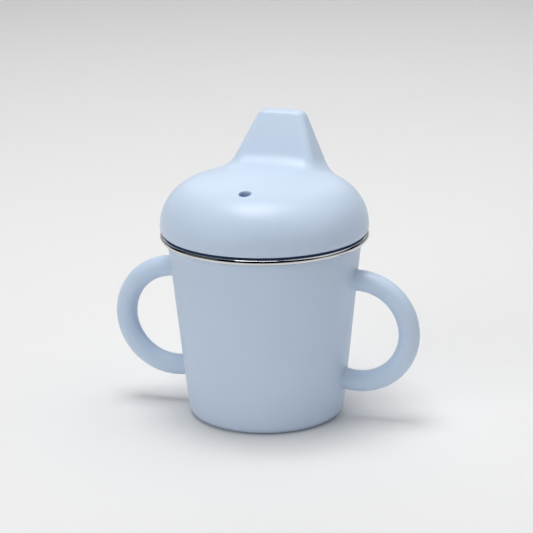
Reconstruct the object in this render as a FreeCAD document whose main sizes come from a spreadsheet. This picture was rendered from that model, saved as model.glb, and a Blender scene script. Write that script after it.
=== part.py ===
"""Toddler's sippy cup: a pressed steel cup with a rolled rim, a silicone sleeve with two ring
handles, and a soft silicone lid with a drinking spout and an air vent.

Frame: millimetres, +Z up. The origin is on the table under the middle of the cup. The handles
lie along X, the spout stands towards +Y and the air vent towards -Y.
"""

import FreeCAD, Part
import os
import Sketcher

# name, millimetres, what it is
SIZES = [
    ("rim_height", 72.3, "top of the steel rim above the table"),
    ("top_radius", 37.45, "sleeve, outside, where its wall line reaches the rim height"),
    ("foot_radius", 29.9, "sleeve, outside, where its wall line reaches the table"),
    ("sleeve_wall", 2.0, "sleeve wall, measured level"),
    ("sleeve_floor", 2.2, "sleeve floor"),
    ("sleeve_corner", 3.8, "sleeve, outside radius round the foot"),
    ("sleeve_gap", 0.1, "room between sleeve and steel cup all round"),
    ("recess_radius", 21.0, "shallow recess under the sleeve floor"),
    ("recess_depth", 0.8, "depth of that recess"),
    ("steel", 0.5, "sheet thickness of the cup"),
    ("steel_corner", 3.4, "steel cup, outside radius round its floor"),
    ("floor_panel_radius", 20.0, "raised panel in the steel floor"),
    ("floor_panel_rise", 0.7, "how far that panel is raised"),
    ("neck_bend", 1.2, "bend from steel wall to flange, outside"),
    ("curl_radius", 1.15, "rolled bead of the rim, outside radius of its section"),
    ("curl_gap", 0.25, "room between sleeve and rolled bead"),
    ("handle_ring", 20.2, "handle, radius of its centre line"),
    ("handle_tube", 4.08, "handle, radius of its section"),
    ("handle_centre", 36.95, "handle ring centre, out from the axis"),
    ("handle_height", 35.3, "handle ring centre, above the table"),
    ("handle_blend", 0.8, "fillet where a handle leaves the wall"),
    ("dome_inset", 0.05, "how far the dome stays inside the rim"),
    ("dome_lift", 2.7, "widest line of the dome above the rim"),
    ("dome_rise", 20.6, "crown of the dome above its widest line"),
    ("shoulder_radius", 18.0, "round of the dome's shoulder"),
    ("tuck_radius", 3.5, "round from the dome's widest line in to its lip"),
    ("lip_gap", 0.63, "gap between lip and rim"),
    ("lid_wall", 2.4, "wall of the dome"),
    ("lid_ring", 2.4, "depth of the stiff ring inside the dome's widest line"),
    ("seat_gap", 0.05, "room between lid seat and steel flange"),
    ("seat_width", 3.0, "width of the ring that seats on the flange"),
    ("plug_depth", 8.0, "how far the lid's plug goes into the cup"),
    ("plug_wall", 2.2, "wall of the plug"),
    ("plug_gap", 0.45, "room between plug and steel"),
    ("rib_gap", 0.1, "room between a sealing rib and steel"),
    ("rib_radius", 0.8, "section radius of a sealing rib"),
    ("rib_first", 2.4, "upper sealing rib below the rim"),
    ("rib_pitch", 3.2, "distance between the sealing ribs"),
    ("spout_height", 18.6, "tip of the spout above the crown"),
    ("spout_tip_y", 25.6, "middle of the spout's tip, out from the axis"),
    ("tip_half_width", 8.6, "spout tip, half its width"),
    ("tip_half_depth", 3.4, "spout tip, half its depth"),
    ("tip_front_corner", 2.6, "spout tip, corners nearer the axis, radius seen from above"),
    ("tip_back_corner", 3.0, "spout tip, corners further out, radius seen from above"),
    ("tip_edge", 3.0, "spout tip, edge round"),
    ("root_half_width", 16.9, "spout at crown height, half its width"),
    ("root_front", 9.5, "spout at crown height, front face out from the axis"),
    ("root_back", 31.6, "spout at crown height, back face out from the axis"),
    ("root_front_corner", 4.0, "spout at crown height, front corners seen from above"),
    ("root_back_corner", 8.2, "spout at crown height, back corners seen from above"),
    ("root_depth", 10.0, "how far the spout's taper is carried down inside the dome"),
    ("spout_blend", 10.0, "fillet where the spout rises from the dome"),
    ("spout_wall", 2.2, "wall of the spout"),
    ("slit_length", 6.0, "drinking slit in the spout's tip, length"),
    ("slit_width", 0.4, "drinking slit in the spout's tip, width"),
    ("vent_y", 23.45, "air vent, out from the axis"),
    ("vent_radius", 2.3, "air vent, radius of its well"),
    ("vent_wall", 1.7, "wall of the boss under the vent"),
    ("vent_depth", 5.2, "floor of the vent's well below the crown"),
    ("vent_floor", 1.4, "thickness of that floor"),
    ("pin_hole", 0.6, "radius of the air hole in that floor"),
]
SHEET = "Sizes"
PAST = 1.0  # how far a cut runs past the solid that it cuts


class Size:
    """A length known both as a number and as the sheet expression that gives it."""

    def __init__(self, value, text):
        self.value = value
        self.text = text

    def join(self, sign, other, value):
        return Size(value, f"({self.text} {sign} {length(other).text})")

    def __add__(self, other):
        return self.join("+", other, self.value + length(other).value)

    def __sub__(self, other):
        return self.join("-", other, self.value - length(other).value)

    def __mul__(self, other):
        return self.join("*", other, self.value * length(other).value)

    def __truediv__(self, other):
        return self.join("/", other, self.value / length(other).value)


def length(value):
    """A Size as it is, or a plain number as a Size."""
    return value if isinstance(value, Size) else Size(float(value), repr(float(value)))


def make_sheet(doc):
    """The spreadsheet of driving dimensions, and a Size for each of its rows."""
    sheet = doc.addObject("Spreadsheet::Sheet", SHEET)
    for row, (name, value, note) in enumerate(SIZES, start=1):
        sheet.set(f"A{row}", note)
        sheet.set(f"B{row}", str(value))
        sheet.setAlias(f"B{row}", name)
    doc.recompute()
    return {name: Size(float(sheet.get(name)), f"{SHEET}.{name}") for name, _, _ in SIZES}


# Sketch helpers ------------------------------------------------------------------------------

ORIGIN = (-1, 1)
ACROSS_AXIS, UP_AXIS = -1, -2  # the sketch's own horizontal and vertical axes


class Outline:
    """A sketch on one of its body's origin planes, whose points are tied to the sheet."""

    def __init__(self, body, name, plane="XZ_Plane", height=None):
        self.sketch = body.newObject("Sketcher::SketchObject", name)
        origin = next(f for f in body.Origin.OriginFeatures if f.Role == plane)
        self.sketch.AttachmentSupport = (origin, [""])
        self.sketch.MapMode = "FlatFace"
        if height is not None:
            self.sketch.AttachmentOffset = FreeCAD.Placement(
                FreeCAD.Vector(0, 0, height.value), FreeCAD.Rotation()
            )
            self.sketch.setExpression(".AttachmentOffset.Base.z", height.text)

    def rule(self, *constraint):
        return self.sketch.addConstraint(Sketcher.Constraint(*constraint))

    def measure(self, kind, size, *where):
        index = self.rule(kind, *where, size.value)
        self.sketch.setExpression(f"Constraints[{index}]", size.text)

    def hold(self, where, x, y, axes="xy"):
        """Ties a point to the sheet: both of its coordinates, or only the one that axes names."""
        for axis, size, along in (("x", x, UP_AXIS), ("y", y, ACROSS_AXIS)):
            if axis not in axes:
                continue
            if abs(size.value) < 1e-9:
                self.rule("PointOnObject", *where, along)
            else:
                kind = "DistanceX" if axis == "x" else "DistanceY"
                self.measure(kind, size, *ORIGIN, *where)

    def closed(self, corners, arcs=None):
        """A closed outline. corners are (x, y) or (x, y, axes to hold). arcs gives, by the
        number of the corner that it starts from, an arc's (centre x, centre y, axes, turn),
        where turn is 1 if the arc runs anticlockwise."""
        arcs = arcs or {}
        points = [(length(c[0]), length(c[1])) for c in corners]
        flat = [FreeCAD.Vector(x.value, y.value, 0) for x, y in points]
        count = len(points)
        ends = []
        for i in range(count):
            start, end = flat[i], flat[(i + 1) % count]
            if i in arcs:
                cx, cy, axes, turn = arcs[i]
                cx, cy = length(cx), length(cy)
                centre = FreeCAD.Vector(cx.value, cy.value, 0)
                first, last = (start, end) if turn > 0 else (end, start)
                circle = Part.Circle(centre, FreeCAD.Vector(0, 0, 1), (first - centre).Length)
                arc = Part.ArcOfCircle(circle, circle.parameter(first), circle.parameter(last))
                geometry = self.sketch.addGeometry(arc, False)
                ends.append((geometry, 1, 2) if turn > 0 else (geometry, 2, 1))
                self.hold((geometry, 3), cx, cy, axes)
            else:
                geometry = self.sketch.addGeometry(Part.LineSegment(start, end), False)
                ends.append((geometry, 1, 2))
        for i in range(count):
            here, after = ends[i], ends[(i + 1) % count]
            self.rule("Coincident", here[0], here[2], after[0], after[1])
        for i, corner in enumerate(corners):
            axes = corner[2] if len(corner) > 2 else "xy"
            self.hold((ends[i][0], ends[i][1]), *points[i], axes)
        return self

    def circle(self, x, y, radius):
        x, y = length(x), length(y)
        centre = FreeCAD.Vector(x.value, y.value, 0)
        round_ = Part.Circle(centre, FreeCAD.Vector(0, 0, 1), radius.value)
        geometry = self.sketch.addGeometry(round_, False)
        self.hold((geometry, 3), x, y)
        self.measure("Radius", radius, geometry)
        return self

    def axis(self, x):
        """A construction line parallel to the vertical axis, for a Revolution to turn about."""
        ends = [FreeCAD.Vector(x.value, y, 0) for y in (0, 10)]
        line = self.sketch.addGeometry(Part.LineSegment(*ends), True)
        self.hold((line, 1), x, length(0))
        self.hold((line, 2), x, length(10))
        return self

    def rounded(self, half_width, front, back, front_corner, back_corner):
        """A rectangle with round corners, from front to back in y and even about x = 0."""
        minus = length(-1)
        right_front, right_back = half_width - front_corner, half_width - back_corner
        left_front, left_back = minus * right_front, minus * right_back
        low, high = front + front_corner, back - back_corner
        corners = [
            (left_front, front, "x"),
            (right_front, front),
            (half_width, low, "y"),
            (half_width, high),
            (right_back, back, "x"),
            (left_back, back),
            (minus * half_width, high, "y"),
            (minus * half_width, low),
        ]
        arcs = {
            1: (right_front, low, "xy", 1),
            3: (right_back, high, "xy", 1),
            5: (left_back, high, "xy", 1),
            7: (left_front, low, "xy", 1),
        }
        return self.closed(corners, arcs)


# Feature helpers -----------------------------------------------------------------------------


def new_body(doc, label):
    body = doc.addObject("PartDesign::Body", label)
    body.Label = label
    return body


def turned(body, name, outline, cut=False, axis="V_Axis"):
    """The outline revolved right round, added to the body or cut from it."""
    kind = "PartDesign::Groove" if cut else "PartDesign::Revolution"
    feature = body.newObject(kind, name)
    feature.Profile = outline.sketch
    feature.ReferenceAxis = (outline.sketch, [axis])
    feature.Angle = 360.0
    body.Document.recompute()
    return feature


def raised(body, name, outline, height, cut=False):
    """The outline carried straight up by height, added to the body or cut from it."""
    feature = body.newObject("PartDesign::Pocket" if cut else "PartDesign::Pad", name)
    feature.Profile = outline.sketch
    feature.Length = height.value
    feature.setExpression("Length", height.text)
    feature.Reversed = cut  # a pocket cuts downwards unless it is reversed
    body.Document.recompute()
    return feature


def grown(body, name, outline):
    """The outline carried straight up until it meets the body."""
    feature = body.newObject("PartDesign::Pad", name)
    feature.Profile = outline.sketch
    feature.Type = "UpToFirst"
    body.Document.recompute()
    return feature


def lofted(body, name, first, last, cut=False):
    kind = "PartDesign::SubtractiveLoft" if cut else "PartDesign::AdditiveLoft"
    feature = body.newObject(kind, name)
    feature.Profile = first.sketch
    feature.Sections = [last.sketch]
    feature.Ruled = True
    body.Document.recompute()
    return feature


def filleted(body, name, edges, radius):
    """Rounds the named edges of the body's last feature."""
    if not edges:
        raise RuntimeError(f"{name}: no edge to round")
    base = body.Tip
    feature = body.newObject("PartDesign::Fillet", name)
    feature.Base = (base, edges)
    feature.Radius = radius.value
    feature.setExpression("Radius", radius.text)
    body.Document.recompute()
    return feature


def edges_where(body, wanted):
    """Names of the edges of the body's last feature for which wanted(edge) is true."""
    found = enumerate(body.Tip.Shape.Edges, start=1)
    return [f"Edge{number}" for number, edge in found if not edge.Degenerated and wanted(edge)]


def ring_edges(body, *rings):
    """Names of the edges that are level circles about the axis, given as (radius, height)."""

    def wanted(edge):
        curve = edge.Curve
        if not isinstance(curve, Part.Circle):
            return False
        return any(
            abs(curve.Radius - radius.value) < 1e-3 and abs(curve.Center.z - z.value) < 1e-3
            for radius, z in rings
        )

    return edges_where(body, wanted)


# The pieces ----------------------------------------------------------------------------------


class Cup:
    """The sizes that more than one piece shares, worked out from the sheet."""

    def __init__(self, s):
        self.s = s
        self.rim_radius = s["top_radius"] + s["curl_gap"] + s["curl_radius"] * 2
        self.curl_centre = self.rim_radius - s["curl_radius"]
        self.flange_under = s["rim_height"] - s["steel"]
        self.steel_floor = s["sleeve_floor"] + s["sleeve_gap"]
        self.widest_height = s["rim_height"] + s["dome_lift"]
        self.dome_radius = self.rim_radius - s["dome_inset"]
        self.crown_height = self.widest_height + s["dome_rise"]
        self.tip_height = self.crown_height + s["spout_height"]
        self.tip_front = s["spout_tip_y"] - s["tip_half_depth"]
        self.tip_back = s["spout_tip_y"] + s["tip_half_depth"]

    def sleeve_outside(self, height):
        """Radius of the sleeve's outer wall line at a height."""
        s = self.s
        slope = (s["top_radius"] - s["foot_radius"]) / s["rim_height"]
        return s["foot_radius"] + slope * height

    def steel_outside(self, height):
        s = self.s
        return self.sleeve_outside(height) - s["sleeve_wall"] - s["sleeve_gap"]

    def steel_inside(self, height):
        return self.steel_outside(height) - self.s["steel"]

    def plug_outside(self, height):
        return self.steel_inside(height) - self.s["plug_gap"]


def make_steel_cup(doc, cup):
    """Deep-drawn cup of one sheet: raised floor panel, tapered wall, flange, rolled bead."""
    s = cup.s
    sheet_metal = s["steel"]
    body = new_body(doc, "steel_cup")
    low, high = cup.steel_floor, s["rim_height"]
    panel = s["floor_panel_radius"]
    rise = s["floor_panel_rise"]
    wall = Outline(body, "wall_profile").closed(
        [
            (0, low + rise),
            (panel, low + rise),
            (panel + rise, low),
            (cup.steel_outside(low), low),
            (cup.steel_outside(cup.flange_under), cup.flange_under),
            (cup.curl_centre, cup.flange_under),
            (cup.curl_centre, high),
            (cup.steel_inside(high), high),
            (cup.steel_inside(low + sheet_metal), low + sheet_metal),
            (panel + rise, low + sheet_metal),
            (panel, low + rise + sheet_metal),
            (0, low + rise + sheet_metal),
        ]
    )
    turned(body, "drawn_cup", wall)
    corner = ring_edges(body, (cup.steel_outside(low), low))
    filleted(body, "floor_round_outside", corner, s["steel_corner"])
    inner_floor = low + sheet_metal
    filleted(
        body,
        "floor_round_inside",
        ring_edges(body, (cup.steel_inside(inner_floor), inner_floor)),
        s["steel_corner"] - sheet_metal,
    )
    neck = (cup.steel_outside(cup.flange_under), cup.flange_under)
    filleted(body, "neck_round_outside", ring_edges(body, neck), s["neck_bend"])
    mouth = (cup.steel_inside(high), high)
    filleted(body, "neck_round_inside", ring_edges(body, mouth), s["neck_bend"] + sheet_metal)

    # The bead is the sheet rolled out and down, and back in under the flange.
    centre_r, centre_z = cup.curl_centre, high - s["curl_radius"]
    outer, inner = s["curl_radius"], s["curl_radius"] - sheet_metal
    curl = Outline(body, "curl_profile").closed(
        [
            (centre_r, centre_z + outer),
            (centre_r, centre_z + inner),
            (centre_r - inner, centre_z, "y"),
            (centre_r - outer, centre_z, "y"),
        ],
        {
            1: (centre_r, centre_z, "xy", -1),
            3: (centre_r, centre_z, "xy", 1),
        },
    )
    turned(body, "rolled_bead", curl)
    return body


def make_sleeve(doc, cup):
    """Silicone boot over the steel cup, moulded in one with its two ring handles."""
    s = cup.s
    body = new_body(doc, "sleeve")
    top = cup.flange_under - s["sleeve_gap"]
    zero = length(0)
    outside = Outline(body, "outer_profile").closed(
        [
            (0, 0),
            (cup.sleeve_outside(zero), 0),
            (cup.sleeve_outside(top), top),
            (0, top),
        ]
    )
    turned(body, "outer_form", outside)
    foot = ring_edges(body, (cup.sleeve_outside(zero), zero))
    filleted(body, "foot_round", foot, s["sleeve_corner"])

    ring = Outline(body, "handle_profile", "XY_Plane", s["handle_height"])
    ring.circle(s["handle_centre"] + s["handle_ring"], 0, s["handle_tube"])
    ring.axis(s["handle_centre"])
    handle = turned(body, "handle_ring", ring, axis="Axis0")
    both = body.newObject("PartDesign::Mirrored", "both_handles")
    both.Originals = [handle]
    side = next(f for f in body.Origin.OriginFeatures if f.Role == "YZ_Plane")
    both.MirrorPlane = (side, [""])
    body.Tip = both
    doc.recompute()

    def handle_root(edge):
        """True for the edges where a handle meets the wall."""
        return isinstance(edge.Curve, Part.BSplineCurve)

    filleted(body, "handle_round", edges_where(body, handle_root), s["handle_blend"])

    floor = s["sleeve_floor"]
    inner_floor = cup.sleeve_outside(floor) - s["sleeve_wall"]
    inner_top = cup.sleeve_outside(top + PAST) - s["sleeve_wall"]
    inside = Outline(body, "cavity_profile").closed(
        [
            (0, floor),
            (inner_floor, floor),
            (inner_top, top + PAST),
            (0, top + PAST),
        ]
    )
    turned(body, "cavity", inside, cut=True)
    corner = ring_edges(body, (inner_floor, floor))
    filleted(body, "cavity_round", corner, s["steel_corner"])
    mouth = ring_edges(body, (cup.sleeve_outside(top) - s["sleeve_wall"], top))
    filleted(body, "mouth_round", mouth, s["neck_bend"])  # clears the bend of the steel neck
    top_edge = ring_edges(body, (cup.sleeve_outside(top), top))
    filleted(body, "top_round", top_edge, s["sleeve_wall"] * 0.25)
    recess = Outline(body, "recess_profile", "XY_Plane").circle(0, 0, s["recess_radius"])
    raised(body, "foot_recess", recess, s["recess_depth"], cut=True)
    return body


def dome_section(cup, inset):
    """The dome's section at a distance inside its outer surface: the height of the crown's
    centre, the point where crown and shoulder meet, and the shoulder's centre."""
    s = cup.s
    rise, shoulder = s["dome_rise"], s["shoulder_radius"]
    across = cup.dome_radius - shoulder
    crown = (across * across + rise * rise - shoulder * shoulder) / ((rise - shoulder) * 2)
    along = crown - shoulder
    crown_centre = cup.crown_height - crown
    reach = (crown - inset) / along
    meet = (across * reach, crown_centre + (crown - rise) * reach)
    return crown_centre, meet, (across, cup.widest_height)


def make_lid(doc, cup):
    """Soft lid: dome, hollow spout, plug with two sealing ribs, and the air vent's well."""
    s = cup.s
    body = new_body(doc, "lid")
    make_dome(body, cup)
    make_spout(body, cup)
    hollow_lid(body, cup)
    for number in (1, 2):
        height = s["rim_height"] - s["rib_first"] - s["rib_pitch"] * (number - 1)
        across = cup.steel_inside(height) - s["rib_gap"] - s["rib_radius"]
        rib = Outline(body, f"rib_profile_{number}").circle(across, height, s["rib_radius"])
        turned(body, f"sealing_rib_{number}", rib)
    make_vent(body, cup)
    return body


def make_dome(body, cup):
    """The lid's outside without its spout, solid."""
    s = cup.s
    rim = s["rim_height"]
    seat, lip = rim + s["seat_gap"], rim + s["lip_gap"]
    plug_end = rim - s["plug_depth"]
    plug_end_r, plug_top_r = cup.plug_outside(plug_end), cup.plug_outside(rim)
    seat_r = plug_top_r + s["seat_width"]
    crown_centre, meet, shoulder_centre = dome_section(cup, length(0))
    tuck_centre = cup.dome_radius - s["tuck_radius"]
    lip_r = cup.dome_radius - s["tuck_radius"] * 0.2  # only a start: the tuck's round settles it
    outside = Outline(body, "outer_profile").closed(
        [
            (0, cup.crown_height),
            (0, plug_end),
            (plug_end_r, plug_end),
            (plug_top_r, seat),
            (seat_r, seat),
            (seat_r, lip),
            (lip_r, lip, "y"),
            (cup.dome_radius, cup.widest_height),
            (meet[0], meet[1], "x"),
        ],
        {
            6: (tuck_centre, cup.widest_height, "xy", 1),
            7: (shoulder_centre[0], shoulder_centre[1], "xy", 1),
            8: (0, crown_centre, "x", 1),
        },
    )
    turned(body, "dome", outside)
    filleted(body, "plug_end_round", ring_edges(body, (plug_end_r, plug_end)), s["plug_wall"] * 0.4)


def root_sizes(cup):
    """Half width, front, back and corner radii of the spout where its taper starts."""
    s = cup.s
    deeper = s["root_depth"] / s["spout_height"]
    pairs = (
        ("tip_half_width", "root_half_width"),
        (cup.tip_front, "root_front"),
        (cup.tip_back, "root_back"),
        ("tip_front_corner", "root_front_corner"),
        ("tip_back_corner", "root_back_corner"),
    )
    sizes = []
    for tip, root in pairs:
        tip = s[tip] if isinstance(tip, str) else tip
        sizes.append(s[root] + (s[root] - tip) * deeper)
    return sizes


def make_spout(body, cup):
    """The spout's outside. Its two sections lie on one taper, which starts inside the dome."""
    s = cup.s
    root = Outline(body, "spout_root", "XY_Plane", cup.crown_height - s["root_depth"])
    root.rounded(*root_sizes(cup))
    top = Outline(body, "spout_tip", "XY_Plane", cup.tip_height)
    top.rounded(
        s["tip_half_width"],
        cup.tip_front,
        cup.tip_back,
        s["tip_front_corner"],
        s["tip_back_corner"],
    )
    lofted(body, "spout", root, top)

    def spout_foot(edge):
        """True for the edges where the spout leaves the dome."""
        box = edge.BoundBox
        on_dome = cup.widest_height.value < box.ZMin and box.ZMax < cup.tip_height.value - 1
        near = box.XMax < s["root_half_width"].value + 3 and box.YMin > -s["root_front"].value
        return on_dome and near

    def tip_edge(edge):
        return edge.BoundBox.ZMin > cup.tip_height.value - 0.01

    filleted(body, "spout_round", edges_where(body, spout_foot), s["spout_blend"])
    filleted(body, "tip_round", edges_where(body, tip_edge), s["tip_edge"])


def hollow_lid(body, cup):
    """Hollows dome, plug and spout, and cuts the drinking slit."""
    s = cup.s
    wall = s["lid_wall"]
    plug_end = s["rim_height"] - s["plug_depth"]
    bore = cup.plug_outside(plug_end) - s["plug_wall"]
    ring_top = cup.widest_height + s["lid_ring"]
    crown_centre, meet, shoulder_centre = dome_section(cup, wall)
    inside = Outline(body, "cavity_profile").closed(
        [
            (0, cup.crown_height - wall),
            (0, plug_end - PAST),
            (bore, plug_end - PAST),
            (bore, cup.widest_height),
            (cup.dome_radius - wall, ring_top, "y"),
            (meet[0], meet[1], "x"),
        ],
        {
            4: (shoulder_centre[0], shoulder_centre[1], "xy", 1),
            5: (0, crown_centre, "x", 1),
        },
    )
    turned(body, "cavity", inside, cut=True)

    spout_wall = s["spout_wall"]
    half_width, front, back, front_corner, back_corner = root_sizes(cup)
    channel_root = Outline(body, "channel_root", "XY_Plane", cup.crown_height - s["root_depth"])
    channel_root.rounded(
        half_width - spout_wall,
        front + spout_wall * 1.4,  # that face leans, so its wall is measured level
        back - spout_wall,
        front_corner - spout_wall,
        back_corner - spout_wall,
    )
    channel_top = Outline(body, "channel_top", "XY_Plane", cup.tip_height - spout_wall)
    channel_top.rounded(
        s["tip_half_width"] - spout_wall,
        cup.tip_front + spout_wall,
        cup.tip_back - spout_wall,
        s["tip_front_corner"] * 0.4,
        s["tip_back_corner"] * 0.4,
    )
    lofted(body, "channel", channel_root, channel_top, cut=True)

    half_length, half_width = s["slit_length"] / 2, s["slit_width"] / 2
    minus = length(-1)
    slit = Outline(body, "slit_profile", "XY_Plane", cup.tip_height - spout_wall - PAST)
    slit.closed(
        [
            (minus * half_length, s["spout_tip_y"] - half_width),
            (half_length, s["spout_tip_y"] - half_width),
            (half_length, s["spout_tip_y"] + half_width),
            (minus * half_length, s["spout_tip_y"] + half_width),
        ]
    )
    raised(body, "drinking_slit", slit, spout_wall + PAST * 2, cut=True)


def make_vent(body, cup):
    """A well opposite the spout, with a pin hole in its floor that lets air in."""
    s = cup.s
    across = length(-1) * s["vent_y"]
    well_floor = cup.crown_height - s["vent_depth"]
    boss_end = well_floor - s["vent_floor"]
    boss = Outline(body, "vent_boss_profile", "XY_Plane", boss_end)
    boss.circle(0, across, s["vent_radius"] + s["vent_wall"])
    grown(body, "vent_boss", boss)
    well = Outline(body, "vent_well_profile", "XY_Plane", well_floor)
    well.circle(0, across, s["vent_radius"])
    raised(body, "vent_well", well, s["vent_depth"] + PAST, cut=True)
    hole = Outline(body, "pin_hole_profile", "XY_Plane", boss_end - PAST)
    hole.circle(0, across, s["pin_hole"])
    raised(body, "pin_hole", hole, s["vent_floor"] + PAST * 2, cut=True)


def check(doc, bodies):
    """Stops if a feature failed or a piece isn't one valid solid."""
    for thing in doc.Objects:
        if "Invalid" in thing.State or "Error" in thing.State:
            raise RuntimeError(f"{thing.Name} failed: {thing.State}")
    for body in bodies:
        shape = body.Shape
        if shape.isNull() or not shape.isValid() or not shape.Solids:
            raise RuntimeError(f"{body.Label} isn't a valid solid")


def main():
    doc = FreeCAD.newDocument("sippy_cup")
    cup = Cup(make_sheet(doc))
    bodies = [make_steel_cup(doc, cup), make_sleeve(doc, cup), make_lid(doc, cup)]
    doc.recompute()
    check(doc, bodies)
    os.makedirs("parts", exist_ok=True)
    for body in bodies:
        body.Shape.exportStep(f"parts/{body.Label}.step")
        box = body.Shape.BoundBox
        print(body.Label, f"{body.Shape.Volume:.0f} mm3", f"{len(body.Shape.Solids)} solid", box)


main()
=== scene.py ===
from math import atan2, ceil, cos, hypot, pi, radians, sin, sqrt, tan

import bmesh
import bpy
import numpy as np
from mathutils import Matrix, Vector


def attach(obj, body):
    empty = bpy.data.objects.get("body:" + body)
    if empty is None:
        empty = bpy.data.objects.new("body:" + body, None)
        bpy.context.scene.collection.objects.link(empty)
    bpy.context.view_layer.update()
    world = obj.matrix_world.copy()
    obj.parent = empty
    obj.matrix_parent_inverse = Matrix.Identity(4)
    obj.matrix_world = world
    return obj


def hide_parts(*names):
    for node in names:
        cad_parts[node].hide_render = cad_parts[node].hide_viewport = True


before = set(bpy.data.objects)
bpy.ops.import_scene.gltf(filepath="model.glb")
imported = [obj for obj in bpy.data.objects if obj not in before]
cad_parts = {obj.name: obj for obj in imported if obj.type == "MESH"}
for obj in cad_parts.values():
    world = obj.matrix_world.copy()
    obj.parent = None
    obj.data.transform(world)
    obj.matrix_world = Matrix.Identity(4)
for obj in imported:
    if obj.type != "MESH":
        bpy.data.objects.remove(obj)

# The cup's sizes in millimetres. +Z is up, the handles lie along X and the spout is towards +Y.
MM = 0.001
COLUMNS = 240  # faces round the cup
ARC_STEP = radians(12)  # turn between two points on a rounded corner

# the sleeve and the steel cup inside it
RIM_HEIGHT = 72.3
FOOT_RADIUS = 29.9
WALL_SLOPE = 7.55 / RIM_HEIGHT  # how much wider the sleeve gets for each millimetre up
SLEEVE_WALL = 2.0
SLEEVE_FLOOR = 2.2  # height of the floor that the steel cup stands over
SLEEVE_TOP = 71.7
CUP_GAP = 0.1  # between the sleeve's wall and the steel cup's
CUP_FOOT = 2.3
STEEL = 0.5
BEAD_RADIUS, BEAD_ACROSS = 1.15, 38.84

# the handles
RING_CENTRE, RING_HEIGHT, RING_RADIUS, TUBE_RADIUS = 36.95, 35.3, 20.2, 4.08
FIRST_ROOT, LAST_ROOT = radians(93.55), radians(-105.4)  # where the ring meets the wall
UPPER_ROOT, LOWER_ROOT = 55.46, 15.83  # the same two places as heights
ROOT_COLUMNS, ROOT_ROWS = 7, 6  # half the size of the opening that a handle grows from
ROW = (UPPER_ROOT - LOWER_ROOT) / 41  # height of a row of faces on the wall
HANDLE_ROUND = 0.8

# the lid
WIDEST, DOME_RADIUS, SHOULDER, CROWN_RADIUS = 75.0, 39.95, 18.0, 111.95
CROWN = 95.6
LID_WALL, SPOUT_WALL = 2.4, 2.2
LIP = 73.0
LIP_INSIDE = 37.4
SEAT = 72.35
PLUG_END = 64.3
PLUG_GAP = 0.45  # between the steel wall and the plug, which its ribs bridge
PLUG_INSIDE = 31.36
UPPER_RIB, LOWER_RIB = 69.9, 66.7
TIP = 114.2
TIP_MIDDLE = 25.6  # how far the spout's tip stands from the cup's axis
SLIT_LENGTH, SLIT_WIDTH = 6.0, 0.4
VENT_MIDDLE = -23.45
VENT_RADIUS, VENT_FLOOR, VENT_EDGE = 2.3, 90.4, 0.35
PIN_HOLE = 0.6  # radius
BOSS_RADIUS, BOSS_END = 4.0, 89.0

# colours
PALE_BLUE = (0.556, 0.671, 0.830)
# painted shade: the dark blue put into the lid's colour in the vent well and under its lip
PAINTED_SHADE_BLUE = (0.12, 0.22, 0.46)

# the studio
VIEW_TURN = radians(17.56)  # how far round to the right the camera and the studio stand


# ---------------------------------------------------------------- finishes

def new_material(name):
    material = bpy.data.materials.new(name)
    material.use_nodes = True
    return material, material.node_tree.nodes["Principled BSDF"]


def node(material, kind, inputs=(), **settings):
    """A shader node; each input is a plain value or another node's output."""
    made = material.node_tree.nodes.new("ShaderNode" + kind)
    for name, value in settings.items():
        setattr(made, name, value)
    for name, value in dict(inputs).items():
        if isinstance(value, bpy.types.NodeSocket):
            material.node_tree.links.new(value, made.inputs[name])
        else:
            made.inputs[name].default_value = value
    return made


def place_on_piece(material):
    return node(material, "TexCoord").outputs["Object"]


def across_piece(material, parts):
    """How far a point is from the cup's axis, in metres."""
    flat = node(material, "CombineXYZ", {"X": parts["X"], "Y": parts["Y"]}).outputs["Vector"]
    return node(material, "VectorMath", {0: flat}, operation="LENGTH").outputs["Value"]


def noise(material, where, scale, detail=2.0, roughness=0.5):
    made = node(material, "TexNoise", {
        "Vector": where, "Scale": scale, "Detail": detail, "Roughness": roughness})
    return made.outputs["Fac"]


def between(material, value, low, high, to_low, to_high):
    """The value from low to high, spread over to_low to to_high."""
    made = node(material, "MapRange", {
        "Value": value, "From Min": low, "From Max": high, "To Min": to_low, "To Max": to_high})
    return made.outputs["Result"]


def blended(material, share, first, second):
    """From the first colour to the second as share goes from nought to one."""
    made = node(material, "Mix", data_type="RGBA")
    colours = [i for i in made.inputs if i.type == "RGBA"]
    for socket, value in zip(colours, (first, second)):
        if isinstance(value, bpy.types.NodeSocket):
            material.node_tree.links.new(value, socket)
        else:
            socket.default_value = (*value, 1)
    material.node_tree.links.new(share, made.inputs[0])
    return [o for o in made.outputs if o.type == "RGBA"][0]


def worked_out(material, operation, first, second):
    """One sum on two values: ADD, SUBTRACT, MULTIPLY or MAXIMUM."""
    made = node(material, "Math", {0: first, 1: second}, operation=operation)
    return made.outputs["Value"]


def bumped(material, shader, layers):
    """Bump on the shader from layers of (height, depth in metres), coarse ones first."""
    normal = None
    for height, depth in layers:
        inputs = {"Height": height, "Distance": depth, "Strength": 1.0}
        if normal:
            inputs["Normal"] = normal
        normal = node(material, "Bump", inputs).outputs["Normal"]
    material.node_tree.links.new(normal, shader.inputs["Normal"])


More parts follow.
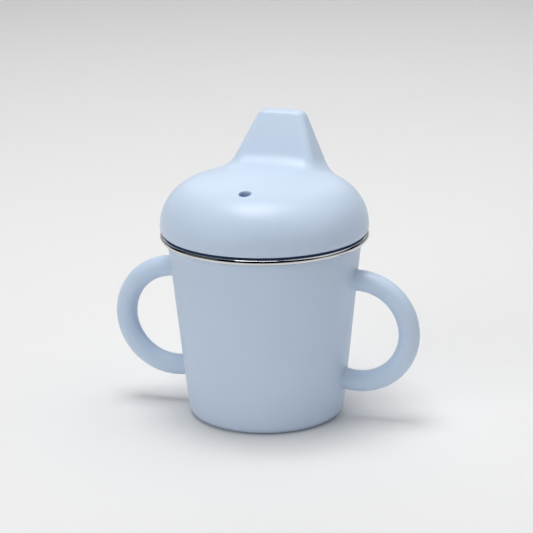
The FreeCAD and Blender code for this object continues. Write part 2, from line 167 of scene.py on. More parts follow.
def matt_silicone(name, colour, roughness, painted_shade=None):
    """Soft-touch silicone: clouded a little in the moulding, finely grained, with paler and
    smoother edges where hands rub it. The optional last argument gives the share of a painted
    shade colour mixed in: dark blue standing in for shade where little light gets in."""
    material, shader = new_material(name)
    links = material.node_tree.links
    where = place_on_piece(material)
    clouds = between(material, noise(material, where, 22.0, 3.0), 0.3, 0.7, 0.0, 1.0)
    specks = noise(material, where, 1400.0, 1.0)
    paler = tuple(min(c * 1.025, 0.95) for c in colour)
    deeper = tuple(c * 0.975 for c in colour)
    body = blended(material, clouds, deeper, paler)
    grained = blended(material, between(material, specks, 0.55, 0.75, 0.0, 0.35), body, deeper)
    edges = node(material, "NewGeometry").outputs["Pointiness"]
    rubbed = between(material, edges, 0.515, 0.56, 0.0, 0.5)
    worn = tuple(min(c * 1.07, 0.97) for c in colour)
    finish = blended(material, rubbed, grained, worn)
    # painted shade: dark blue mixed into the colour where the mask is one
    if painted_shade is not None:
        finish = blended(material, painted_shade(material, where), finish, PAINTED_SHADE_BLUE)
    links.new(finish, shader.inputs["Base Color"])
    dull = between(material, noise(material, where, 60.0, 4.0), 0.3, 0.7,
                   roughness - 0.05, roughness + 0.05)
    polished = between(material, edges, 0.515, 0.56, 0.0, 0.08)
    rough = worked_out(material, "SUBTRACT", dull, polished)
    links.new(rough, shader.inputs["Roughness"])
    bumped(material, shader, [
        (noise(material, where, 150.0, 2.0), 0.00006),
        (noise(material, where, 2600.0, 2.0), 0.00002),
    ])
    shader.inputs["IOR"].default_value = 1.55
    shader.inputs["Sheen Weight"].default_value = 0.12
    shader.inputs["Sheen Roughness"].default_value = 0.45
    return material


def painted_shade_of_lid(material, where):
    """Mask for painted shade: one in the depth of the air vent and on the underside of the lip,
    where little light gets in and the colour is darkened to paint in the shade, and nought
    elsewhere."""
    parts = node(material, "SeparateXYZ", {"Vector": where}).outputs
    from_vent = node(material, "VectorMath", {
        0: where, 1: (0, VENT_MIDDLE * MM, 0.0895)}, operation="DISTANCE").outputs["Value"]
    # painted shade in the vent, strongest near the well's floor
    vent = between(material, from_vent, 0.0024, 0.0042, 1.0, 0.0)
    across = across_piece(material, parts)
    # painted shade under the lip, outside the plug
    below_lip = between(material, parts["Z"], 0.0730, 0.0732, 1.0, 0.0)
    outside_plug = between(material, across, 0.0370, 0.0372, 0.0, 1.0)
    under = worked_out(material, "MULTIPLY", below_lip, outside_plug)
    return worked_out(material, "MAXIMUM", vent, under)


def lathed_steel(name):
    """Stainless sheet: brushed round and round inside the cup, rolled smooth at the rim, with
    faint hairline scratches."""
    material, shader = new_material(name)
    links = material.node_tree.links
    where = place_on_piece(material)
    parts = node(material, "SeparateXYZ", {"Vector": where}).outputs
    across = across_piece(material, parts)
    turn = node(material, "TexGradient", {"Vector": where}, gradient_type="RADIAL").outputs["Fac"]
    stretched = worked_out(material, "MULTIPLY", turn, 0.012)
    round_cup = node(material, "CombineXYZ", {"X": across, "Y": stretched, "Z": parts["Z"]})
    brushing = noise(material, round_cup.outputs["Vector"], 2600.0, 3.0, 0.6)
    below_rim = between(material, parts["Z"], 0.0695, 0.0705, 1.0, 0.0)
    smears = noise(material, where, 45.0, 4.0, 0.6)
    drawn_out = node(material, "Mapping", {
        "Vector": where, "Rotation": (0.4, 0.9, 0.3), "Scale": (1.0, 0.06, 1.0)})
    scratches = node(material, "TexVoronoi", {
        "Vector": drawn_out.outputs["Vector"], "Scale": 420.0,
    }, feature="DISTANCE_TO_EDGE").outputs["Distance"]
    hairline = between(material, scratches, 0.0, 0.02, 1.0, 0.0)
    tint = between(material, smears, 0.35, 0.65, 0.0, 1.0)
    colour = blended(material, tint, (0.66, 0.66, 0.67), (0.74, 0.74, 0.745))
    links.new(colour, shader.inputs["Base Color"])
    smooth = between(material, smears, 0.3, 0.7, 0.07, 0.12)
    coarse = between(material, brushing, 0.3, 0.7, 0.12, 0.24)
    brushed = worked_out(material, "MULTIPLY", below_rim, coarse)
    rough = worked_out(material, "ADD", smooth, brushed)
    scratched = worked_out(material, "MULTIPLY", hairline, 0.06)
    links.new(worked_out(material, "ADD", rough, scratched), shader.inputs["Roughness"])
    groove_share = worked_out(material, "MAXIMUM", below_rim, 0.12)
    grooves = worked_out(material, "MULTIPLY", brushing, groove_share)
    bumped(material, shader, [(grooves, 0.00002), (hairline, -0.000002)])
    shader.inputs["Metallic"].default_value = 1.0
    return material


# ---------------------------------------------------------------- making shapes

def rounded_line(corners, spacing=None):
    """A line (across, height) with its corners rounded. A corner is (across, height) or
    (across, height, radius). Runs longer than spacing are divided evenly."""
    points = [Vector(c[:2]) for c in corners]
    line = [points[0]]
    for i in range(1, len(points) - 1):
        radius = corners[i][2] if len(corners[i]) > 2 else 0
        if not radius:
            line.append(points[i])
            continue
        back = (points[i - 1] - points[i]).normalized()
        ahead = (points[i + 1] - points[i]).normalized()
        half = back.angle(ahead) / 2
        middle = points[i] + (back + ahead).normalized() * (radius / sin(half))
        start = points[i] + back * (radius / tan(half)) - middle
        end = points[i] + ahead * (radius / tan(half)) - middle
        sweep = start.angle_signed(end)
        steps = max(3, ceil(abs(sweep) / ARC_STEP))
        for k in range(steps + 1):
            line.append(middle + Matrix.Rotation(-sweep * k / steps, 2) @ start)
    line.append(points[-1])
    if not spacing:
        return line
    even = [line[0]]
    for a, b in zip(line, line[1:]):
        pieces = max(1, ceil((b - a).length / spacing))
        even += [a.lerp(b, k / pieces) for k in range(1, pieces + 1)]
    return even


def arc_line(across, height, radius, first, last, steps):
    """Points on an arc of a section, from the angle first to last in degrees."""
    angles = [radians(first + (last - first) * k / steps) for k in range(steps + 1)]
    return [Vector((across + radius * cos(a), height + radius * sin(a))) for a in angles]


def lathe(line, closed):
    """A half-section spun right round the cup's axis."""
    bm = bmesh.new()
    verts = [bm.verts.new((p[0], 0, p[1])) for p in line]
    edges = [bm.edges.new(pair) for pair in zip(verts, verts[1:])]
    if closed:
        edges.append(bm.edges.new((verts[-1], verts[0])))
    bmesh.ops.spin(
        bm, geom=verts + edges, axis=(0, 0, 1), cent=(0, 0, 0), dvec=(0, 0, 0),
        angle=2 * pi, steps=COLUMNS, use_merge=True, use_duplicate=False,
    )
    bmesh.ops.remove_doubles(bm, verts=bm.verts, dist=1e-4)
    bmesh.ops.recalc_face_normals(bm, faces=bm.faces)
    return bm


def finished(bm, name, material, body, cad_node):
    """The shape in metres as a piece of the cup that stands for a CAD node."""
    bmesh.ops.scale(bm, vec=(MM, MM, MM), verts=bm.verts)
    mesh = bpy.data.meshes.new(name)
    bm.to_mesh(mesh)
    bm.free()
    mesh.shade_smooth()
    mesh.materials.append(material)
    piece = bpy.data.objects.new(name, mesh)
    bpy.context.scene.collection.objects.link(piece)
    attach(piece, body)
    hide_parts(cad_node)
    return piece


def loop_round(edges):
    """The vertices of one closed loop of edges, in order."""
    ahead = {}
    for edge in edges:
        for vert in edge.verts:
            ahead.setdefault(vert, []).append(edge.other_vert(vert))
    start = next(iter(ahead))
    loop, last = [start], None
    while True:
        nexts = [v for v in ahead[loop[-1]] if v is not last]
        last = loop[-1]
        if nexts[0] is start:
            return loop
        loop.append(nexts[0])


def edges_of(bm, loop):
    return [bm.edges.get((a, b)) for a, b in zip(loop, loop[1:] + loop[:1])]


def grow(bm, loop, places):
    """Extrudes a closed loop of vertices once and moves the new loop to places."""
    made = bmesh.ops.extrude_edge_only(bm, edges=edges_of(bm, loop))["geom"]
    new = {v for v in made if isinstance(v, bmesh.types.BMVert)}
    grown = [next(e.other_vert(v) for e in v.link_edges if e.other_vert(v) in new) for v in loop]
    for vert, place in zip(grown, places):
        vert.co = place
    return grown


def join(bm, first, last):
    """Fills the gap between two closed loops with faces."""
    bmesh.ops.bridge_loops(bm, edges=edges_of(bm, first) + edges_of(bm, last))


def open_edges(bm, faces):
    """Removes faces and gives the edges round the hole that they leave."""
    edges = {edge for face in faces for edge in face.edges}
    inside = set(faces)
    rim = [e for e in edges if any(f not in inside for f in e.link_faces)]
    bmesh.ops.delete(bm, geom=faces, context="FACES")
    return rim


# ---------------------------------------------------------------- steel cup

def wall_outside(height):
    """Radius of the sleeve's wall at a height."""
    return FOOT_RADIUS + WALL_SLOPE * height


def make_steel_cup():
    """One pressed sheet: raised floor panel, tapered wall, flange, and a bead rolled under."""
    low, high = CUP_FOOT, RIM_HEIGHT
    out = SLEEVE_WALL + CUP_GAP
    panel, rise = 20.0, 0.7
    flange = high - STEEL
    outside = rounded_line([
        (0, low + rise),
        (panel, low + rise, 0.8),
        (panel + rise, low, 0.8),
        (wall_outside(low) - out, low, 3.4),
        (wall_outside(flange) - out, flange, 1.2),
        (BEAD_ACROSS, flange),
    ], 2.0)
    bead_in = BEAD_RADIUS - STEEL
    bead_height = high - BEAD_RADIUS
    bead = arc_line(BEAD_ACROSS, bead_height, bead_in, 90, -180, 20)
    bead += arc_line(BEAD_ACROSS, bead_height, BEAD_RADIUS, -180, 90, 36)
    inside = rounded_line([
        (BEAD_ACROSS, high),
        (wall_outside(high) - out - STEEL, high, 1.7),
        (wall_outside(low + STEEL) - out - STEEL, low + STEEL, 2.9),
        (panel + rise, low + STEEL, 0.8),
        (panel, low + rise + STEEL, 0.8),
        (0, low + rise + STEEL),
    ], 2.0)
    bm = lathe(outside + bead[1:] + inside[1:], closed=False)
    return finished(bm, "steel_cup_pressing", cup_steel, "steel_cup", "steel_cup")


# ---------------------------------------------------------------- sleeve and handles

def sleeve_section():
    """From the middle of the underside, up the outside in even rows, over the top edge and
    down the inside to the middle of the floor."""
    even_rows_end = 66.0
    recess, recess_radius = 0.8, 21.0
    rows_up = []
    height = LOWER_ROOT - ROOT_ROWS * ROW
    while height < even_rows_end:
        rows_up.append((wall_outside(height), height))
        height += ROW
    outside = rounded_line([
        (0, recess),
        (recess_radius - 0.4, recess, 0.3),
        (recess_radius, 0, 0.4),
        (FOOT_RADIUS, 0, 3.8),
        rows_up[0],
    ], 2.0)
    upper = rounded_line([
        rows_up[-1],
        (wall_outside(SLEEVE_TOP), SLEEVE_TOP, 0.5),
        (wall_outside(SLEEVE_TOP) - SLEEVE_WALL, SLEEVE_TOP, 1.2),
        (wall_outside(SLEEVE_FLOOR) - SLEEVE_WALL, SLEEVE_FLOOR, 3.4),
        (0, SLEEVE_FLOOR),
    ], 1.5)
    return outside + [Vector(p) for p in rows_up[1:-1]] + upper


def to_wall(point, along, clear):
    """Slides point along a direction until it is clear millimetres outside the sleeve's wall."""
    lean = cos(atan2(WALL_SLOPE, 1))

    def gap(p):
        return (hypot(p.x, p.y) - wall_outside(p.z)) * lean - clear

    for _ in range(8):
        slope = (gap(point + along * 0.01) - gap(point)) / 0.01
        point = point - along * (gap(point) / slope)
    return point


def root_ring(side, angle, count, clear, radius):
    """A ring of points round a handle's root, clear of the wall by a distance."""
    centre = Vector((side * (RING_CENTRE + RING_RADIUS * cos(angle)), 0,
                     RING_HEIGHT + RING_RADIUS * sin(angle)))
    outward = Vector((side * cos(angle), 0, sin(angle)))
    turn = 1 if angle < 0 else -1
    along = Vector((-side * sin(angle) * turn, 0, cos(angle) * turn))
    ring = []
    for k in range(count):
        a = 2 * pi * k / count
        offset = Vector((0, cos(a), 0)) * radius + outward * (sin(a) * radius)
        ring.append(to_wall(centre + offset, along, clear))
    return ring


def in_step(loop, ring):
    """The loop turned and, if need be, reversed so that it runs alongside the ring."""
    best = None
    for way in (loop, loop[::-1]):
        for shift in range(len(way)):
            turned = way[shift:] + way[:shift]
            miss = sum((v.co - p).length for v, p in zip(turned[::4], ring[::4]))
            if best is None or miss < best[0]:
                best = (miss, turned)
    return best[1]


def add_handle(bm, side):
    """A ring handle that grows out of the wall at its upper root and back in at its lower."""
    count = 2 * (2 * ROOT_COLUMNS + 2 * ROOT_ROWS)
    first, last = FIRST_ROOT, LAST_ROOT
    step = 2 * pi / COLUMNS

    def opening(root):
        faces = []
        for face in bm.faces:
            middle = face.calc_center_median()
            if middle.x * side < 0 or hypot(middle.x, middle.y) < wall_outside(middle.z) - 0.5:
                continue
            if abs(atan2(middle.y, abs(middle.x))) < ROOT_COLUMNS * step:
                if abs(middle.z - root) < ROOT_ROWS * ROW:
                    faces.append(face)
        return loop_round(open_edges(bm, faces))

    upper, lower = opening(UPPER_ROOT), opening(LOWER_ROOT)
    swell = [(HANDLE_ROUND * (1 - sin(a)), HANDLE_ROUND * (1 - cos(a)))
             for a in (0, pi / 8, pi / 4, pi * 3 / 8, pi / 2)]
    loop = in_step(upper, root_ring(side, first, count, 0, TUBE_RADIUS + HANDLE_ROUND))
    for wide, clear in swell:
        loop = grow(bm, loop, root_ring(side, first, count, clear, TUBE_RADIUS + wide))
    steps = 44
    clear_of_roots = radians(7)
    start, end = first - clear_of_roots, last + clear_of_roots
    for k in range(steps + 1):
        angle = start + (end - start) * k / steps
        outward = Vector((side * cos(angle), 0, sin(angle)))
        centre = Vector((side * RING_CENTRE, 0, RING_HEIGHT)) + outward * RING_RADIUS
        ring = []
        for j in range(count):
            a = 2 * pi * j / count
            ring.append(centre + (Vector((0, cos(a), 0)) + outward * sin(a)) * TUBE_RADIUS)
        loop = grow(bm, loop, ring)
    for wide, clear in swell[::-1]:
        loop = grow(bm, loop, root_ring(side, last, count, clear, TUBE_RADIUS + wide))
    join(bm, loop, lower)


def make_sleeve():
    """Silicone boot and its two ring handles, one moulding."""
    bm = lathe(sleeve_section(), closed=False)
    for side in (1, -1):
        add_handle(bm, side)
    bmesh.ops.recalc_face_normals(bm, faces=bm.faces)
    return finished(bm, "silicone_sleeve", sleeve_silicone, "sleeve", "sleeve")


# ---------------------------------------------------------------- lid

def ball_distance(u, v, lean):
    """How far a point is from the middle of a ball that touches two surfaces, u and v being
    the point's distances from that middle across each one and lean how alike they face."""
    apart = np.sqrt(np.maximum(u * u + v * v - 2 * lean * u * v, 0) / (1 - lean * lean))
    return np.where(v <= lean * u, u, np.where(u <= lean * v, v, apart))


class Skin:
    """The outside of the lid, or the inside one wall in: a dome and a spout that flow into
    each other. blend is the radius where they meet, tip_round the one round the tip's edge,
    and crowned how much the tip falls away to the sides."""

    def __init__(self, wall, spout_wall, blend, tip_round, crowned):
        self.wall, self.spout_wall = wall, spout_wall
        self.blend, self.tip_round, self.crowned = blend, tip_round, crowned
        self.top = TIP - spout_wall
        self.shoulder_across = DOME_RADIUS - SHOULDER
        self.crown_centre = CROWN - CROWN_RADIUS

    def dome(self, x, y, z):
        """Distance outside the dome, and which way it faces: outwards and upwards."""
        across = np.hypot(x, y)
        crown = np.hypot(across, z - self.crown_centre)
        shoulder = np.hypot(across - self.shoulder_across, z - WIDEST)
        run = self.shoulder_across / (WIDEST - self.crown_centre)
        on_crown = across < (z - self.crown_centre) * run
        away = np.where(on_crown, crown - CROWN_RADIUS, shoulder - SHOULDER) + self.wall
        outwards = np.where(on_crown, across / crown, (across - self.shoulder_across) / shoulder)
        upwards = np.where(on_crown, (z - self.crown_centre) / crown, (z - WIDEST) / shoulder)
        across = np.maximum(across, 1e-6)
        return away, outwards * x / across, outwards * y / across, upwards

    def section(self, z):
        """Half width, front, back, front corner and back corner of the spout at a height."""
        down = (TIP - z) / (TIP - CROWN)
        w = self.spout_wall
        return (
            8.6 + 8.3 * down - w * (1.505 - 0.505 * down),
            22.2 - 12.7 * down + w * (1.72 - 0.32 * down),
            29.0 + 2.6 * down - w * (1.16 - 0.16 * down),
            2.6 + 1.4 * down - w * (0.755 + 0.245 * down),
            3.0 + 5.2 * down - w * (1.108 - 0.108 * down),
        )

    def flank(self, x, y, z):
        """Distance outside the spout's side in plan, and which way that side faces."""
        half_width, front, back, front_corner, back_corner = self.section(z)
        middle, half_depth = (front + back) / 2, (back - front) / 2
        corner = np.where(y > middle, back_corner, front_corner)
        dx = np.abs(x) - half_width + corner
        dy = np.abs(y - middle) - half_depth + corner
        round_x, round_y = np.maximum(dx, 0), np.maximum(dy, 0)
        length = np.hypot(round_x, round_y)
        away = length + np.minimum(np.maximum(dx, dy), 0) - corner
        length = np.maximum(length, 1e-9)
        inner = (dx <= 0) & (dy <= 0)
        face_x = np.where(inner, dx > dy, round_x / length) * np.sign(x)
        face_y = np.where(inner, dx <= dy, round_y / length) * np.sign(y - middle)
        return away, face_x, face_y

    def depth(self, x, y, z):
        """How far a point is outside the skin, negative inside it."""
        side, side_x, side_y = self.flank(x, y, z)
        rise = (self.flank(x, y, z + 0.01)[0] - side) / 0.01
        size = np.sqrt(1 + rise * rise)
        side, side_x, side_y, side_z = side / size, side_x / size, side_y / size, rise / size
        r = self.tip_round * (1 - 0.5 * np.maximum(-side_y, 0) ** 2)
        cap = z - self.top + self.crowned * x * x
        spout = ball_distance(side + r, cap + r, side_z) - r
        dome, dome_x, dome_y, dome_z = self.dome(x, y, z)
        lean = np.clip(side_x * dome_x + side_y * dome_y + side_z * dome_z, -0.99, 0.99)
        r = self.blend
        return r - ball_distance(r - spout, r - dome, lean)

    def outline(self, inset, count):
        """Points evenly round the spout's tip, inset from its edge, anticlockwise from +X."""
        half_width, front, back, front_corner, back_corner = (
            float(v) for v in self.section(np.array(float(self.top))))
        return rounded_rectangle(
            half_width - inset, front + inset, back - inset,
            max(front_corner - inset, 0.2), max(back_corner - inset, 0.2), count)

    def columns(self, inset, end_height, ways_down):
        """Rings of points on the skin, each column running from the spout's tip down to a
        height on the dome. A way down gives how far along a column its ring lies, from the
        column's length."""
        start = self.outline(inset, COLUMNS)
        end_across = self.shoulder_across + sqrt(
            (SHOULDER - self.wall) ** 2 - (end_height - WIDEST) ** 2)
        ends = np.array([(end_across * cos(a), end_across * sin(a)) for a in column_angles()])
        plan = ends - start
        reach = np.hypot(*plan.T)
        plan /= reach[:, None]

        def depth(s, z):
            return self.depth(start[:, 0] + plan[:, 0] * s, start[:, 1] + plan[:, 1] * s, z)

        s = np.zeros(COLUMNS)
        z = self.top - self.crowned * start[:, 0] ** 2
        track = [(s, z)]
        step, nudge, most_steps = 0.35, 1e-3, 900
        while (z > end_height - 1).any() and len(track) < most_steps:
            for _ in range(3):
                value = depth(s, z)
                slope_s = (depth(s + nudge, z) - value) / nudge
                slope_z = (depth(s, z + nudge) - value) / nudge
                size = slope_s * slope_s + slope_z * slope_z
                s, z = s - value * slope_s / size, z - value * slope_z / size
            track.append((s, z))
            size = np.sqrt(size)
            s, z = s + step * slope_z / size, z - step * slope_s / size
        track = np.array(track[1:])
        rings = [[] for _ in ways_down]
        for c in range(COLUMNS):
            ss, zz = track[:, 0, c], track[:, 1, c]
            last = int(np.argmax(zz < end_height))
            ss = np.append(ss[:last], reach[c])
            zz = np.append(zz[:last], end_height)
            run = np.concatenate([[0], np.cumsum(np.hypot(np.diff(ss), np.diff(zz)))])
            for ring, way_down in zip(rings, ways_down):
                at = way_down(run[-1])
                x, y = start[c] + plan[c] * np.interp(at, run, ss)
                ring.append(Vector((x, y, np.interp(at, run, zz))))
        return rings


def rounded_rectangle(half_width, front, back, front_corner, back_corner, count):
    """Points evenly round a rectangle with round corners, anticlockwise from its +X side."""
    w, f, b, rf, rb = half_width, front, back, front_corner, back_corner
    middle = (f + b) / 2
    path = [(w, middle)]
    for cx, cy, r, first in ((w - rb, b - rb, rb, 0), (rb - w, b - rb, rb, 90),
                             (rf - w, f + rf, rf, 180), (w - rf, f + rf, rf, 270)):
        for k in range(13):
            a = radians(first + 90 * k / 12)
            path.append((cx + r * cos(a), cy + r * sin(a)))
    path.append((w, middle))
    path = np.array(path)
    run = np.concatenate([[0], np.cumsum(np.hypot(*np.diff(path, axis=0).T))])
    at = np.arange(count) / count * run[-1]
    return np.stack([np.interp(at, run, path[:, 0]), np.interp(at, run, path[:, 1])], 1)


def column_angles():
    """Directions of the lid's columns of faces round the cup, closer together by the spout."""
    even = [2 * pi * k / COLUMNS for k in range(COLUMNS)]
    return [a + 0.45 * cos(a) for a in even]


def rings_of(line):
    """A ring of points for each point of a half-section."""
    return [[Vector((p[0] * cos(a), p[0] * sin(a), p[1])) for a in column_angles()] for p in line]


def lid_rim_section():
    """From low on the dome's outside, round the lip, the plug and its ribs, to the inside."""
    rib_radius, rib_sunk = 0.8, 0.45
    plug_wide, plug_narrow = 70.9, 65.6  # heights between which the ribs stand

    def plug(height):
        return wall_outside(height) - SLEEVE_WALL - CUP_GAP - STEEL - PLUG_GAP

    def rib(height):
        return arc_line(plug(height) - rib_sunk, height, rib_radius, 56, -56, 8)

    shoulder = arc_line(DOME_RADIUS - SHOULDER, WIDEST, SHOULDER, 16.13, 0, 5)
    tuck = arc_line(DOME_RADIUS - 3.5, WIDEST, 3.5, 0, -28, 4)
    under = rounded_line([
        tuck[-1],
        (DOME_RADIUS - 0.66, LIP, 0.35),
        (LIP_INSIDE, LIP, 0.15),
        (LIP_INSIDE, SEAT, 0.15),
        (plug(SEAT), SEAT, 0.2),
        (plug(plug_wide), plug_wide),
    ], 1.2)
    lower = rounded_line([
        (plug(plug_narrow), plug_narrow),
        (plug(PLUG_END), PLUG_END, 0.9),
        (PLUG_INSIDE, PLUG_END, 0.4),
        (PLUG_INSIDE, WIDEST, 1.2),
        (36.7, WIDEST + 2.2, 1.0),
        (37.15, 78.6),
    ], 1.2)
    end = arc_line(DOME_RADIUS - SHOULDER, WIDEST, SHOULDER - LID_WALL, 14.5, 18.7, 2)
    ribs = rib(UPPER_RIB) + rib(LOWER_RIB)
    return shoulder[1:] + tuck[1:] + under[1:] + ribs + lower + end[1:]


def on_tip(skin, x, y, low):
    """A point on the spout's crowned tip, or low millimetres under it."""
    return Vector((x, y, skin.top - skin.crowned * x * x - low))


def add_vent(bm, outer, inner):
    """A well in the dome opposite the spout, with a boss under it and a pin hole through."""
    quarter = pi / 2

    def open_skin(skin, reach):
        """Opens a skin over the vent: the loop round the hole, the angle at which it starts
        and which way round it runs."""
        faces = []
        for face in bm.faces:
            m = face.calc_center_median()
            if hypot(m.x, m.y - VENT_MIDDLE) < reach and m.z > 85:
                if abs(skin.depth(m.x, m.y, m.z)) < 0.6:
                    faces.append(face)
        loop = loop_round(open_edges(bm, faces))
        angle, after = (atan2(v.co.y - VENT_MIDDLE, v.co.x) for v in loop[:2])
        return loop, angle, 1 if sin(after - angle) > 0 else -1

    def ring(count, angle, way, radius, height):
        """Points round the vent, at one height or on a surface that gives the height."""
        places = []
        for k in range(count):
            a = angle + way * 2 * pi * k / count
            x, y = radius * cos(a), VENT_MIDDLE + radius * sin(a)
            places.append(Vector((x, y, height(x, y) if callable(height) else height)))
        return places

    def dome_height(wall):
        reach = CROWN_RADIUS - wall
        return lambda x, y: sqrt(reach ** 2 - x * x - y * y) + CROWN - CROWN_RADIUS

    def lowered(surface, drop):
        return lambda x, y: surface(x, y) - drop

    def sunk(surface, share, bottom):
        return lambda x, y: surface(x, y) * (1 - share) + bottom * share

    outside_hole, inside_hole = 3.6, 5.6
    under, under_angle, under_way = open_skin(inner, inside_hole - 0.4)
    loop, angle, way = open_skin(outer, outside_hole - 0.3)

    top, well = dome_height(0), VENT_RADIUS
    for vert, place in zip(loop, ring(len(loop), angle, way, outside_hole, top)):
        vert.co = place
    downwards = [(well + VENT_EDGE + 0.25, top)]
    for k in range(5):
        a = quarter * k / 4
        downwards.append((well + VENT_EDGE * (1 - sin(a)),
                          lowered(top, VENT_EDGE * (1 - cos(a)))))
    for share in (0.3, 0.65, 0.88):
        downwards.append((well, sunk(top, share, VENT_FLOOR + 0.4)))
    downwards += [
        (well, VENT_FLOOR + 0.4), (well - 0.1, VENT_FLOOR + 0.12), (well - 0.4, VENT_FLOOR),
        (1.4, VENT_FLOOR), (PIN_HOLE + 0.15, VENT_FLOOR),
        (PIN_HOLE + 0.02, VENT_FLOOR - 0.12), (PIN_HOLE, VENT_FLOOR - 0.7),
    ]
    for radius, height in downwards:
        loop = grow(bm, loop, ring(len(loop), angle, way, radius, height))

    roof, boss, boss_round = dome_height(LID_WALL), BOSS_RADIUS, 0.8
    places = ring(len(under), under_angle, under_way, inside_hole, roof)
    for vert, place in zip(under, places):
        vert.co = place
    inwards = []
    for k in range(4):
        a = quarter * k / 3
        inwards.append((boss + boss_round * (1 - sin(a)),
                        lowered(roof, boss_round * (1 - cos(a)))))
    inwards += [
        (boss, BOSS_END + 0.3), (boss - 0.1, BOSS_END + 0.08), (boss - 0.3, BOSS_END),
        (2.0, BOSS_END), (PIN_HOLE + 0.15, BOSS_END), (PIN_HOLE, BOSS_END + 0.15),
    ]
    for radius, height in inwards:
        under = grow(bm, under, ring(len(under), under_angle, under_way, radius, height))
    join(bm, loop, under)


def slit_ring(half_length, half_width, corner):
    """An outline round the drinking slit."""
    return rounded_rectangle(half_length, TIP_MIDDLE - half_width, TIP_MIDDLE + half_width,
                             corner, corner, COLUMNS)


def make_lid():
    """Soft lid in one piece: dome, hollow spout with a drinking slit, plug, ribs and vent."""
    outer = Skin(wall=0.0, spout_wall=0.0, blend=10.0, tip_round=3.0, crowned=0.005)
    inner = Skin(wall=LID_WALL, spout_wall=SPOUT_WALL, blend=6.0, tip_round=0.4, crowned=0.0)
    low_on_dome, edge_inset = 80.0, 2.6
    long, wide = SLIT_LENGTH / 2, SLIT_WIDTH / 2

    over_edge = [lambda run, k=k: 0.55 * k for k in range(1, 11)]
    down = [lambda run, k=k: 5.5 + (run - 5.5) * k / 66 for k in range(1, 67)]
    outside = outer.columns(edge_inset, low_on_dome, over_edge + down)
    evenly = [lambda run, k=k: run * k / 44 for k in range(45)]
    inside = inner.columns(0.3, low_on_dome, evenly)

    mouth = [(long, wide, 0.14), (long + 0.03, wide + 0.03, 0.04),
             (long + 0.14, wide + 0.14, 0), (long + 1.2, wide + 0.5, 0)]
    flat = [[on_tip(outer, x, y, low) for x, y in slit_ring(w, d, d * 0.99)]
            for w, d, low in mouth]
    middle, edge = slit_ring(long + 1.2, 0.7, 0.693), outer.outline(edge_inset, COLUMNS)
    top = [[on_tip(outer, *(m * (1 - t) + e * t), 0) for m, e in zip(middle, edge)]
           for t in (0.33, 0.67, 1.0)]
    slit_under = [Vector((x, y, TIP - SPOUT_WALL)) for x, y in slit_ring(long, wide, 0.198)]

    rings = flat + top + outside + rings_of(lid_rim_section()) + inside[::-1] + [slit_under]
    bm = bmesh.new()
    first = bmesh.ops.create_circle(bm, segments=COLUMNS, radius=1)["verts"]
    for vert, place in zip(first, rings[0]):
        vert.co = place
    loop = first
    for ring in rings[1:]:
        loop = grow(bm, loop, ring)
    join(bm, first, loop)
    bmesh.ops.recalc_face_normals(bm, faces=bm.faces)
    add_vent(bm, outer, inner)
    bmesh.ops.recalc_face_normals(bm, faces=bm.faces)
    return finished(bm, "silicone_lid", lid_silicone, "lid", "lid")


# ---------------------------------------------------------------- studio

def camera_for_cup():
    """A long lens, looking a little down on the cup from in front and to the right."""
    turn, down, roll = VIEW_TURN, radians(16.92), radians(-0.723)
    away = 0.9
    forward = Vector((-sin(turn) * cos(down), cos(turn) * cos(down), -sin(down)))
    level = Vector((cos(turn), sin(turn), 0))
    upright = level.cross(forward)
    right = level * cos(roll) + upright * sin(roll)
    up = upright * cos(roll) - level * sin(roll)
    target = level * 0.00058 + Vector((0, 0, 0.05799))
    data = bpy.data.cameras.new("camera")
    data.sensor_width = 36
    data.lens = 158.3
    camera = bpy.data.objects.new("camera", data)
    turned = Matrix((right, up, -forward)).transposed()
    camera.matrix_world = Matrix.Translation(target - forward * away) @ turned.to_4x4()
    bpy.context.scene.collection.objects.link(camera)
    bpy.context.scene.camera = camera


def in_studio(right, back, up):
    """A place in the studio: metres to the right of the cup, behind it and above the floor."""
    turn = VIEW_TURN
    return Vector((
        right * cos(turn) - back * sin(turn), right * sin(turn) + back * cos(turn), up))


def softbox(name, place, width, height, power, shows_in_steel=True):
    """A soft light aimed at the cup, its power in watts. One that doesn't show in steel
    lights the cup without a reflection of its own."""
    data = bpy.data.lights.new(name, "AREA")
    data.shape = "RECTANGLE"
    data.size, data.size_y = width, height
    data.energy = power
    lamp = bpy.data.objects.new(name, data)
    lamp.location = place
    lamp.rotation_euler = (Vector((0, 0, 0.05)) - place).to_track_quat("-Z", "Y").to_euler()
    lamp.visible_glossy = shows_in_steel
    bpy.context.scene.collection.objects.link(lamp)


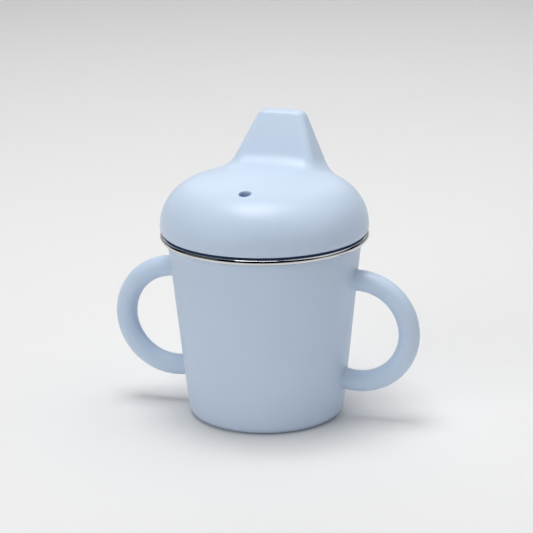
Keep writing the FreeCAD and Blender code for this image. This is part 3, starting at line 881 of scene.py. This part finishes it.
def paper_sweep():
    """Pale floor that curves up into the background."""
    bm = bmesh.new()
    left, right, near, far, bend, top = -2.2, 2.2, -1.6, 1.1, 0.5, 2.4
    line = [(near, 0.0)]
    for step in range(13):
        angle = radians(90) * step / 12
        line.append((far + bend * sin(angle), bend - bend * cos(angle)))
    line.append((far + bend, top))
    front = [bm.verts.new((left, y, z)) for y, z in line]
    for a, b in zip(front, front[1:]):
        bm.edges.new((a, b))
    grown = bmesh.ops.extrude_edge_only(bm, edges=bm.edges[:])
    moved = [v for v in grown["geom"] if isinstance(v, bmesh.types.BMVert)]
    bmesh.ops.translate(bm, verts=moved, vec=(right - left, 0, 0))
    bmesh.ops.recalc_face_normals(bm, faces=bm.faces)
    turn = Matrix.Rotation(VIEW_TURN, 3, "Z")
    bmesh.ops.rotate(bm, verts=bm.verts, cent=(0, 0, 0), matrix=turn)
    mesh = bpy.data.meshes.new("paper_sweep")
    bm.to_mesh(mesh)
    bm.free()
    mesh.shade_smooth()
    sweep = bpy.data.objects.new("paper_sweep", mesh)
    material, shader = new_material("pale_paper")
    fibres = noise(material, place_on_piece(material), 30.0, 4.0)
    colour = blended(material, fibres, (0.795, 0.795, 0.795), (0.805, 0.805, 0.805))
    material.node_tree.links.new(colour, shader.inputs["Base Color"])
    shader.inputs["Roughness"].default_value = 0.75
    shader.inputs["Specular IOR Level"].default_value = 0.25
    mesh.materials.append(material)
    bpy.context.scene.collection.objects.link(sweep)


def studio_light():
    """Even light from all round that polished steel doesn't show, and eight soft lamps."""
    world = bpy.data.worlds.new("studio")
    world.use_nodes = True
    room = world.node_tree.nodes["Background"]
    room.inputs["Color"].default_value = (1, 1, 1, 1)
    room.inputs["Strength"].default_value = 0.2
    bpy.context.scene.world = world
    world.cycles_visibility.glossy = False
    bpy.context.scene.view_settings.view_transform = "Standard"
    softbox("overhead", in_studio(-0.1, 0, 1.1), 0.5, 0.5, 6.8)
    softbox("overhead_back", in_studio(0, 0.3, 1.1), 1.0, 0.8, 1.2)
    softbox("overhead_right", in_studio(0.6, 0.1, 1.0), 1.0, 0.9, 2.4)
    softbox("left_panel", in_studio(-1.4, -0.3, 0.6), 1.2, 1.0, 0.5)
    softbox("right_panel", in_studio(1.4, -0.3, 0.6), 1.2, 1.0, 0.6)
    softbox("front_left_fill", in_studio(-1.1, -1.2, 0.7), 1.2, 1.0, 7.4,
            shows_in_steel=False)
    softbox("front_right_fill", in_studio(1.1, -1.2, 0.7), 1.2, 1.0, 1.4,
            shows_in_steel=False)
    softbox("backdrop_light", in_studio(0, 0.9, 0.6), 1.0, 0.4, 1.2)


# ---------------------------------------------------------------- the scene

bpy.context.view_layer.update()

sleeve_silicone = matt_silicone("sleeve_silicone", PALE_BLUE, 0.40)
# the lid's colour has painted shade in the vent well and under the lip
lid_silicone = matt_silicone("lid_silicone", PALE_BLUE, 0.40, painted_shade_of_lid)
cup_steel = lathed_steel("cup_steel")

make_steel_cup()
make_sleeve()
make_lid()

camera_for_cup()
paper_sweep()
studio_light()
